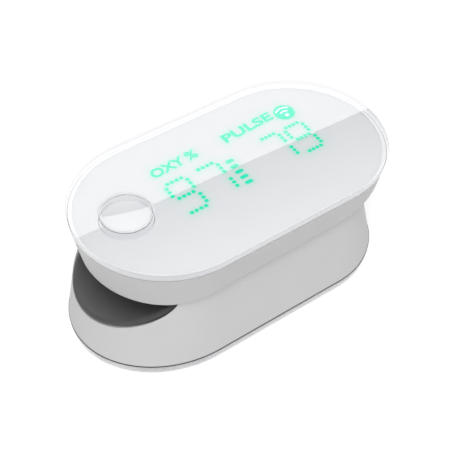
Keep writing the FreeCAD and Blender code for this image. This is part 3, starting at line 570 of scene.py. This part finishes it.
def lit_dots():
    """Middle x, middle y and scale of every lit dot of the two numbers."""
    dots = []
    for middle_x, middle_y, scale, number in DIGITS:
        spots = []
        for row in ROWS_LIT[number]:
            for i in range(DOTS_IN_ROW):
                spots.append(((i - (DOTS_IN_ROW - 1) / 2) * DOT_STEP, row * DIGIT_HALF_HEIGHT))
        for column, part in COLUMNS_LIT[number]:
            for i in range(1, DOTS_IN_COLUMN + 1):
                share = i / (DOTS_IN_COLUMN + 1) + COLUMN_LIFT
                spots.append((column * DIGIT_HALF_WIDTH, part * DIGIT_HALF_HEIGHT * share))
        for x, y in spots:
            dots.append((middle_x + (x + DIGIT_SLANT * y) * scale, middle_y + y * scale, scale))
    return dots


def make_dots():
    """The numbers' dots, each a low dome."""
    bm = bmesh.new()
    for x, y, scale in lit_dots():
        radius = DOT_RADIUS * (0.5 + scale / 2)
        foot = LIGHT_Z - LIGHT_SKIRT
        profile = [(0, foot), (radius, foot), (radius, LIGHT_Z + LIGHT_SKIRT)]
        profile += [(radius * 0.75, LIGHT_Z + 0.6 * DOT_DOME), (radius * 0.4, LIGHT_Z + 0.9 * DOT_DOME)]
        profile.append((0, LIGHT_Z + DOT_DOME))
        spin_profile(bm, profile, x, y, 20)
    return bm


def make_bars():
    """Five pulse bars: pill shapes across the display."""
    bm = bmesh.new()
    for i in range(BAR_COUNT):
        y = BAR_MIDDLE_Y + (i - (BAR_COUNT - 1) / 2) * BAR_STEP
        loops = []
        x = BAR_X + DIGIT_SLANT * y
        for inset, rise in ((0, -LIGHT_SKIRT), (0, LIGHT_SKIRT), (BAR_BEVEL, DOT_DOME)):
            loops.append(pill_loop(x, y, BAR_LENGTH / 2 - inset, BAR_WIDTH / 2 - inset, LIGHT_Z + rise))
        loft(bm, loops)
    return bm


def pill_loop(x, y, half_length, radius, z, steps=10):
    """Straight sides joined by half circles, as points all round."""
    straight = half_length - radius
    right = [(x + straight + radius * math.cos(a), y + radius * math.sin(a), z) for a in half_angle(steps)]
    left = [(x - straight - radius * math.cos(a), y - radius * math.sin(a), z) for a in half_angle(steps)]
    return right + left


# a dot and two arcs: inner and outer radius, as shares of the badge's
BADGE_ARCS = [(0.0, 0.2), (0.5, 0.68), (0.98, 1.16)]
ARC_START = math.radians(48)
ARC_END = math.radians(132)
ARC_DROP = 0.45                              # how far below the badge's middle, as a share of its radius
ARC_THICK = 0.01 * MM
ARC_GAP = 0.001 * MM


def make_badge():
    """The round badge the arcs sit on."""
    bm = bmesh.new()
    arc_band(bm, 0.0, BADGE_RADIUS, 0.0, 2 * math.pi, LIGHT_Z - LIGHT_SKIRT, LIGHT_Z + DOT_DOME)
    return bm


def make_badge_arcs():
    """A dot and two arcs on the badge, like a signal spreading."""
    bm = bmesh.new()
    low = LIGHT_Z + DOT_DOME + ARC_GAP
    drop = ARC_DROP * BADGE_RADIUS
    for inner, outer in BADGE_ARCS:
        start, end = (ARC_START, ARC_END) if inner else (0.0, 2 * math.pi)
        arc_band(bm, inner * BADGE_RADIUS, outer * BADGE_RADIUS, start, end, low, low + ARC_THICK, drop)
    arcs = link_mesh("badge_arcs", bm, MATERIALS["pale_mark"], "jaw", smooth=False)


def arc_band(bm, inner, outer, start, end, low, high, drop=0.0, steps=40):
    """A flat closed band between two radii, from start to end; its middle is drop below the badge's."""
    whole = end - start > 2 * math.pi - 1e-6
    turn = [start + (end - start) * i / steps for i in range(steps + (0 if whole else 1))]
    sections = []
    for a in turn:
        section = []
        for radius, z in ((inner, low), (outer, low), (outer, high), (inner, high)):
            point = (BADGE_X + radius * math.cos(a), BADGE_Y - drop + radius * math.sin(a), z)
            section.append(bm.verts.new(point))
        sections.append(section)
    pairs = list(zip(sections, sections[1:]))
    if whole:
        pairs.append((sections[-1], sections[0]))
    else:
        bm.faces.new(sections[0][::-1])
        bm.faces.new(sections[-1])
    for a, b in pairs:
        for i in range(4):
            j = (i + 1) % 4
            bm.faces.new((a[i], a[j], b[j], b[i]))
    bmesh.ops.remove_doubles(bm, verts=bm.verts[:], dist=SLIVER)
    bmesh.ops.dissolve_degenerate(bm, edges=bm.edges[:], dist=SLIVER)


def make_label(text, left, baseline, width):
    """Solid letters, stretched to the width and height of the label."""
    curve = bpy.data.curves.new("letters", "FONT")
    curve.body = text
    curve.offset = LETTER_WEIGHT
    curve.extrude = LETTER_DEPTH
    obj = bpy.data.objects.new("letters", curve)
    bpy.context.scene.collection.objects.link(obj)
    bpy.context.view_layer.update()
    mesh = bpy.data.meshes.new_from_object(obj)
    bpy.data.objects.remove(obj)
    bm = bmesh.new()
    bm.from_mesh(mesh)
    bpy.data.meshes.remove(mesh)
    bmesh.ops.remove_doubles(bm, verts=bm.verts[:], dist=LETTER_WELD)
    low = Vector([min(v.co[i] for v in bm.verts) for i in range(3)])
    high = Vector([max(v.co[i] for v in bm.verts) for i in range(3)])
    for v in bm.verts:
        v.co.x = left + (v.co.x - low.x) / (high.x - low.x) * width
        rise = (v.co.x - left) * LABEL_TILT
        v.co.y = baseline + rise + (v.co.y - low.y) / (high.y - low.y) * LABEL_HEIGHT
        v.co.z = LIGHT_Z - LIGHT_SKIRT + (v.co.z - low.z) / (high.z - low.z) * (DOT_DOME + LIGHT_SKIRT)
    return bm


def make_lights():
    """All lit marks; returns them so that the glow on the panel can follow them."""
    glow = MATERIALS["display_glow"]
    lights = [
        link_mesh("display_dots", make_dots(), glow, "jaw"),
        link_mesh("pulse_bars", make_bars(), glow, "jaw", smooth=False),
        link_mesh("signal_badge", make_badge(), glow, "jaw", smooth=False),
    ]
    for name, text, left, baseline, width in LABELS:
        lights.append(link_mesh(name, make_label(text, left, baseline, width), glow, "jaw", smooth=False))
    return lights


GLOW_REACH = 0.45 * MM
GLOW_PEAK = 0.1
GLOW_TINT = 0.4
GLOW_LIGHT = (0.0, 0.9, 0.5, 1.0)
GLOW_COLOUR = (0.1, 0.75, 0.5, 1.0)
PANEL_COLUMNS = 240
PANEL_ROWS = 120
PANEL_DROP = 0.01 * MM                       # keeps the panel clear of the cover's underside


def panel_material():
    """White panel that the marks' light spreads into, by the spread stored on its points."""
    mat = moulded("display_panel", COVER_WHITE, 0.35, mottle=0.006, Specular_IOR_Level=0.0)
    nodes = mat.node_tree.nodes
    links = mat.node_tree.links
    spread = nodes.new("ShaderNodeAttribute")
    spread.attribute_name = "glow"
    strength = nodes.new("ShaderNodeMath")
    strength.operation = "MULTIPLY"
    strength.inputs[1].default_value = GLOW_PEAK
    links.new(spread.outputs["Fac"], strength.inputs[0])
    shader = nodes["Principled BSDF"]
    shader.inputs["Emission Color"].default_value = GLOW_LIGHT
    links.new(strength.outputs[0], shader.inputs["Emission Strength"])
    tint = nodes.new("ShaderNodeMix")
    tint.data_type = "RGBA"
    plain = shader.inputs["Base Color"].links[0].from_socket
    links.new(spread.outputs["Fac"], tint.inputs["Factor"])
    links.new(plain, tint.inputs["A"])
    tint.inputs["B"].default_value = GLOW_COLOUR
    links.new(tint.outputs["Result"], shader.inputs["Base Color"])
    return mat


def make_display_panel(lights):
    """The white panel under the clear cover: a fine mesh whose points carry the marks' soft green halo."""
    low, high = MASK_LOW, MASK_HIGH
    half = high.y
    reach = (high.x - low.x) / 2
    bm = bmesh.new()
    grid = []
    for i in range(PANEL_COLUMNS + 1):
        along = -reach * math.cos(math.pi * i / PANEL_COLUMNS)
        past = max(0.0, abs(along) - STRAIGHT)
        width = math.sqrt(max(0.0, half ** 2 - past ** 2))
        steps = [width * (2 * j / PANEL_ROWS - 1) for j in range(PANEL_ROWS + 1)]
        grid.append([bm.verts.new((TOP_MIDDLE_X + along, y, high.z - PANEL_DROP)) for y in steps])
    for a, b in zip(grid, grid[1:]):
        for j in range(PANEL_ROWS):
            bm.faces.new((a[j], b[j], b[j + 1], a[j + 1]))
    bmesh.ops.remove_doubles(bm, verts=bm.verts[:], dist=0.001 * MM)
    border = [e for e in bm.edges if e.is_boundary]
    walls = bmesh.ops.extrude_edge_only(bm, edges=border)["geom"]
    lower = [v for v in walls if isinstance(v, bmesh.types.BMVert)]
    for v in lower:
        v.co.z = low.z
    bmesh.ops.holes_fill(bm, edges=[e for e in bm.edges if e.is_boundary])
    panel = link_mesh("display_panel", bm, panel_material(), "jaw", smooth=False)
    cut_round_hole(panel, BUTTON_X, BUTTON_Y, PANEL_HOLE, low.z - MM, high.z + MM)
    depsgraph = bpy.context.evaluated_depsgraph_get()
    trees = [BVHTree.FromObject(light, depsgraph) for light in lights]
    values = panel.data.attributes.new("glow", "FLOAT", "POINT")
    for v in panel.data.vertices:
        place = Vector((v.co.x, v.co.y, LIGHT_Z))
        nearest = min(tree.find_nearest(place)[3] for tree in trees)
        values.data[v.index].value = GLOW_TINT * math.exp(-nearest / GLOW_REACH)
    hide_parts("display_mask")


# ---------------------------------------------------------------- silicone pads

PAD_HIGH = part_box("lower_pad")[1]
PAD_WALL = 1.2 * MM
MOUTH_X = TOP_MIDDLE_X - 33.5 * MM
STOP_X = PAD_HIGH.x
MOUTH_HALF = 13.8 * MM
INNER_HALF = 11.8 * MM
CHANNEL_TOP = PAD_HIGH.z
MOUTH_DEPTH = 7.1 * MM
INNER_DEPTH = 6.2 * MM
DRAW_FRONT = 0.18
DRAW_SIDE = 0.12
PAD_STEPS = 26
PAD_STRIPS = 73
LIP_STEPS = 8
STOP_ROUNDING = 2.0 * MM
ROUNDED_FROM = 0.85                          # share of the channel's length where its end starts to round


def shell_front_x(y, z):
    """About where the lower shell's front is at this height and y; its inset and shoulder are left out."""
    rise = z - BASE_HIGH.z
    half = BASE_HALF - DRAW_SIDE * rise
    reach = BASE_FRONT_REACH - DRAW_FRONT * rise
    across = min(1.0, abs(y) / half)
    return TOP_MIDDLE_X - STRAIGHT - reach * math.sqrt(1 - across ** 2)


def channel_point(x, angle, inset):
    """A point of the trough's wall at x; angle runs from one rim to the other through the bottom."""
    share = (x - MOUTH_X) / (STOP_X - MOUTH_X)
    half = MOUTH_HALF + (INNER_HALF - MOUTH_HALF) * share - inset
    depth = MOUTH_DEPTH + (INNER_DEPTH - MOUTH_DEPTH) * share - inset
    return Vector((x, half * math.sin(angle), CHANNEL_TOP - depth * math.cos(angle)))


def pad_path(angle):
    """One strip of the pad: along the outside, round the lip, back along the finger side."""
    lip = PAD_WALL / 2
    guess = channel_point(MOUTH_X, angle, 0)
    front = shell_front_x(guess.y, guess.z) + PLAY
    path = [Vector((STOP_X, 0, CHANNEL_TOP))]
    for i in range(PAD_STEPS + 1):
        x = STOP_X + (front + lip - STOP_X) * i / PAD_STEPS
        path.append(channel_point(x, angle, 0))
    for i in range(1, LIP_STEPS):
        turn = math.pi * i / LIP_STEPS
        path.append(channel_point(front + lip - lip * math.sin(turn), angle, lip * (1 - math.cos(turn))))
    inner_stop = STOP_X - PAD_WALL
    for i in range(PAD_STEPS + 1):
        share = i / PAD_STEPS
        x = front + lip + (inner_stop - front - lip) * share
        rounding = STOP_ROUNDING * max(0.0, (share - ROUNDED_FROM) / (1 - ROUNDED_FROM)) ** 3
        path.append(channel_point(x, angle, PAD_WALL + rounding))
    path.append(Vector((inner_stop, 0, CHANNEL_TOP)))
    return path


def cut_round_hole(obj, x, y, radius, z0, z1):
    """Cuts a round hole through a piece and keeps the result as its mesh."""
    bm = bmesh.new()
    spin_profile(bm, [(0, z0), (radius, z0), (radius, z1), (0, z1)], x, y, 64)
    bmesh.ops.recalc_face_normals(bm, faces=bm.faces[:])
    mesh = bpy.data.meshes.new("cutter")
    bm.to_mesh(mesh)
    bm.free()
    cutter = bpy.data.objects.new("cutter", mesh)
    bpy.context.scene.collection.objects.link(cutter)
    modifier = obj.modifiers.new("hole", "BOOLEAN")
    modifier.operation = "DIFFERENCE"
    modifier.object = cutter
    modifier.solver = "EXACT"
    bpy.context.view_layer.update()
    result = bpy.data.meshes.new_from_object(obj.evaluated_get(bpy.context.evaluated_depsgraph_get()))
    obj.modifiers.clear()
    obj.data = result
    bpy.data.objects.remove(cutter)


def make_lower_pad():
    """Finger cushion: a trough of dark silicone with a rounded lip that shows at the mouth."""
    bm = bmesh.new()
    strips = [[bm.verts.new(p) for p in pad_path(a)] for a in half_angle(PAD_STRIPS)]
    for a, b in zip(strips, strips[1:]):
        for i in range(len(a) - 1):
            bm.faces.new((a[i], a[i + 1], b[i + 1], b[i]))
    for strip in (strips[0], strips[-1]):
        bm.faces.new(strip)
    bmesh.ops.remove_doubles(bm, verts=bm.verts[:], dist=0.001 * MM)
    pad = link_mesh("finger_cushion", bm, MATERIALS["dark_silicone"], "base")
    low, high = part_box("detector_window")
    cut_round_hole(pad, (low.x + high.x) / 2, 0, (high.x - low.x) / 2, 0, CHANNEL_TOP)
    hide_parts("lower_pad")


UPPER_LOW, UPPER_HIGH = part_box("upper_pad")
ROOF_RADIUS = 40 * MM
ROOF_DEPTH = 1.3 * MM
PAD_EDGE = 0.7 * MM
PAD_INSET = 0.05 * MM
NARROW_HALF = 12.3 * MM
STEP_X = TOP_MIDDLE_X - 12.7 * MM
STEP_LENGTH = 1.2 * MM
PAD_CORNER = 1.5 * MM
NOSE_X = TOP_MIDDLE_X - STRAIGHT
SPINE_END = UPPER_HIGH.x - 6 * MM
FLAT_SHARE = 0.92                            # share of the outline inside which the underside isn't rounded
ROOF_SHARES = (0.02, 0.15, 0.3, 0.45, 0.6, 0.72, 0.84, FLAT_SHARE)


def roof_z(y):
    """The upper pad's underside: hollowed to fit over the finger."""
    arch = UPPER_LOW.z + ROOF_DEPTH - ROOF_RADIUS + math.sqrt(ROOF_RADIUS ** 2 - y ** 2)
    return max(UPPER_LOW.z, arch)


def upper_pad_outline(inset):
    """Round nose, then a step in to the narrower part that goes back to the finger stop."""
    wide = UPPER_HIGH.y - inset
    narrow = NARROW_HALF - inset
    rear = UPPER_HIGH.x - inset
    turn_x = rear - PAD_CORNER
    turn_y = narrow - PAD_CORNER
    step_end = STEP_X + STEP_LENGTH
    side = [(rear, narrow * i / 8) for i in range(8)]
    side += [(turn_x + PAD_CORNER * math.cos(a), turn_y + PAD_CORNER * math.sin(a)) for a in half_angle(7, 0)]
    side += [(turn_x + (step_end - turn_x) * i / 10, narrow) for i in range(1, 11)]
    for i in range(1, 7):
        x = STEP_X + STEP_LENGTH / 2 * (1 + math.cos(math.pi * i / 6))
        side.append((x, narrow + (wide - narrow) * i / 6))
    side += [(NOSE_X - wide * math.sin(a), wide * math.cos(a)) for a in half_angle(25, 0)]
    mirrored = [(x, -y) for x, y in side[-2:0:-1]]
    return side + mirrored


def drawn_in(outline, share):
    """The outline drawn in towards the pad's middle line, to this share of its size."""
    points = []
    for x, y in outline:
        middle = min(max(x, NOSE_X), SPINE_END)
        points.append((middle + (x - middle) * share, y * share))
    return points


def make_upper_pad():
    """Upper cushion: hollowed underneath, with a rounded lower edge."""
    bm = bmesh.new()
    top = UPPER_HIGH.z - PLAY
    outer = upper_pad_outline(PAD_INSET)
    loops = [[(x, y, roof_z(y)) for x, y in drawn_in(outer, share)] for share in ROOF_SHARES]
    for a in half_angle(6, 0):
        share = FLAT_SHARE + (1 - FLAT_SHARE) * math.sin(a)
        lift = PAD_EDGE * (1 - math.cos(a))
        loops.append([(x, y, roof_z(y) + lift) for x, y in drawn_in(outer, share)])
    loops.append([(x, y, top) for x, y in outer])
    loft(bm, loops)
    pad = link_mesh("upper_cushion", bm, MATERIALS["dark_silicone"], "jaw")
    low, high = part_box("emitter_window")
    cut_round_hole(pad, (low.x + high.x) / 2, 0, (high.x - low.x) / 2, UPPER_LOW.z - MM, UPPER_HIGH.z + MM)
    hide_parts("upper_pad")


# ---------------------------------------------------------------- ribbon cable across the hinge

RIBBON_THICK = 0.2 * MM
RIBBON_UPRIGHT = 6.1 * MM
UPRIGHT_STEPS = 8
BEND_STEPS = 24
RIDGES = 12
RIDGE_DEPTH = 0.02 * MM


def make_ribbon():
    """Flat cable from the charge board to the main board, with a fixed bend."""
    low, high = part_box("hinge_ribbon")
    foot_x = high.x - RIBBON_THICK
    bend_z = low.z + RIBBON_UPRIGHT
    lean = (high.x - low.x) - RIBBON_THICK
    centre = [(foot_x, low.z + RIBBON_UPRIGHT * i / UPRIGHT_STEPS) for i in range(UPRIGHT_STEPS + 1)]
    for i in range(1, BEND_STEPS + 1):
        share = i / BEND_STEPS
        x = foot_x - lean * (1 - math.cos(share * math.pi / 2))
        centre.append((x, bend_z + (high.z - bend_z) * share))
    bm = bmesh.new()
    half = high.y - PLAY
    loops = []
    for x, z in centre:
        front = [(x + RIDGE_DEPTH * (i % 2), -half + 2 * half * i / RIDGES, z) for i in range(RIDGES + 1)]
        back = [(x + RIBBON_THICK, y, z) for _, y, _ in reversed(front)]
        loops.append(front + back)
    loft(bm, loops)
    ribbon = link_mesh("flat_cable", bm, MATERIALS["ribbon_amber"], None, smooth=False)
    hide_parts("hinge_ribbon")
    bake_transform(ribbon)


# ---------------------------------------------------------------- stage

FLOOR_SIZE = 6.0
FLOOR_WHITE = (0.85, 0.85, 0.85)
FLOOR_GLOW = 0.35
SKY = 0.42
# the edge between the light and the dark reflection on the top, from its front end to its rear end
LINE_START = Vector((TOP_MIDDLE_X - 29.45 * MM, 0.9 * MM, TOP_Z))
LINE_END = Vector((TOP_MIDDLE_X + 31.1 * MM, -1.42 * MM, TOP_Z))
CARD_DISTANCE = 0.5
CARD_SIZE = 0.6
CARD_REACH = 0.07                            # how far from its edge a card's light changes
SOFTBOX_ELEVATION = math.radians(57)
SOFTBOX_DISTANCE = 0.8
SOFTBOX_SIZE = (0.6, 0.6)
SOFTBOX_POWER = 5.3


def make_floor():
    bpy.ops.mesh.primitive_plane_add(size=FLOOR_SIZE, location=(0, 0, 0))
    floor = bpy.context.object
    floor.name = "floor"
    mat = new_material("floor_white", FLOOR_WHITE, 0.9, Specular_IOR_Level=0.0)
    shader = mat.node_tree.nodes["Principled BSDF"]
    shader.inputs["Emission Color"].default_value = (1.0, 1.0, 1.0, 1.0)
    shader.inputs["Emission Strength"].default_value = FLOOR_GLOW
    floor.data.materials.append(mat)


def reflection_card(name, side, near_light, far_light):
    """A lit card that the polished cover mirrors, with one edge along the line from LINE_START to LINE_END.
    side is 1 for the card seen beyond that line and -1 for the one this side of it. Its light changes from
    near_light at that edge to far_light CARD_REACH away from it."""
    camera_at = CAMERA_TARGET + view_back(AZIMUTH, ELEVATION) * CAMERA_DISTANCE
    mirrored = Vector((camera_at.x, camera_at.y, 2 * TOP_Z - camera_at.z))
    start = mirrored + (LINE_START - mirrored).normalized() * CARD_DISTANCE
    end = mirrored + (LINE_END - mirrored).normalized() * CARD_DISTANCE
    along = (end - start).normalized()
    centre = (start + end) / 2
    sight = (centre - mirrored).normalized()
    across = along.cross(sight).normalized()
    if across.dot(Vector((0, 1, 0))) < 0:
        across = -across
    corners = [
        centre - along * CARD_SIZE / 2,
        centre + along * CARD_SIZE / 2,
        centre + along * CARD_SIZE / 2 + across * side * CARD_SIZE,
        centre - along * CARD_SIZE / 2 + across * side * CARD_SIZE,
    ]
    mesh = bpy.data.meshes.new(name)
    mesh.from_pydata([tuple(c) for c in corners], [], [(0, 1, 2, 3)])
    card = bpy.data.objects.new(name, mesh)
    bpy.context.scene.collection.objects.link(card)
    card.visible_camera = False
    card.visible_diffuse = False
    card.visible_shadow = False
    card.visible_transmission = False
    mesh.materials.append(card_material(name, centre, across * side, near_light, far_light))


def card_material(name, origin, direction, near_light, far_light):
    """Light that changes evenly away from the card's edge."""
    mat = bpy.data.materials.new(name)
    mat.use_nodes = True
    nodes = mat.node_tree.nodes
    links = mat.node_tree.links
    nodes.remove(nodes["Principled BSDF"])
    place = nodes.new("ShaderNodeNewGeometry")
    offset = nodes.new("ShaderNodeVectorMath")
    offset.operation = "SUBTRACT"
    offset.inputs[1].default_value = origin
    reach = nodes.new("ShaderNodeVectorMath")
    reach.operation = "DOT_PRODUCT"
    reach.inputs[1].default_value = direction
    level = nodes.new("ShaderNodeMapRange")
    level.inputs["From Max"].default_value = CARD_REACH
    level.inputs["To Min"].default_value = near_light
    level.inputs["To Max"].default_value = far_light
    light = nodes.new("ShaderNodeEmission")
    links.new(place.outputs["Position"], offset.inputs[0])
    links.new(offset.outputs[0], reach.inputs[0])
    links.new(reach.outputs["Value"], level.inputs["Value"])
    links.new(level.outputs["Result"], light.inputs["Strength"])
    links.new(light.outputs[0], nodes["Material Output"].inputs["Surface"])
    return mat


def area_light(name, location, target, size, power):
    """A soft rectangular light aimed at target, left out of mirror reflections."""
    data = bpy.data.lights.new(name, "AREA")
    data.shape = "RECTANGLE"
    data.size = size[0]
    data.size_y = size[1]
    data.energy = power
    obj = bpy.data.objects.new(name, data)
    bpy.context.scene.collection.objects.link(obj)
    obj.location = location
    obj.rotation_euler = (Vector(target) - Vector(location)).to_track_quat("-Z", "Y").to_euler()
    obj.visible_glossy = False


def make_world():
    world = bpy.data.worlds.new("studio")
    bpy.context.scene.world = world
    world.use_nodes = True
    background = world.node_tree.nodes["Background"]
    background.inputs["Color"].default_value = (1.0, 1.0, 1.0, 1.0)
    background.inputs["Strength"].default_value = SKY


make_camera()
make_world()
make_floor()
reflection_card("bright_card", 1, 3.4, 3.9)
reflection_card("soft_card", -1, 0.0, 3.4)
softbox_at = view_back(AZIMUTH, SOFTBOX_ELEVATION) * SOFTBOX_DISTANCE
area_light("softbox", softbox_at, (0, 0, 0), SOFTBOX_SIZE, SOFTBOX_POWER)
dress_cad_nodes()
make_button()
make_button_core()
make_button_shade_ring()
make_cover_border()
make_seam_shade_ring()
make_screw_covers()
make_display_panel(make_lights())
make_badge_arcs()
make_lower_pad()
make_upper_pad()
make_ribbon()
bpy.context.scene.view_settings.view_transform = "Standard"
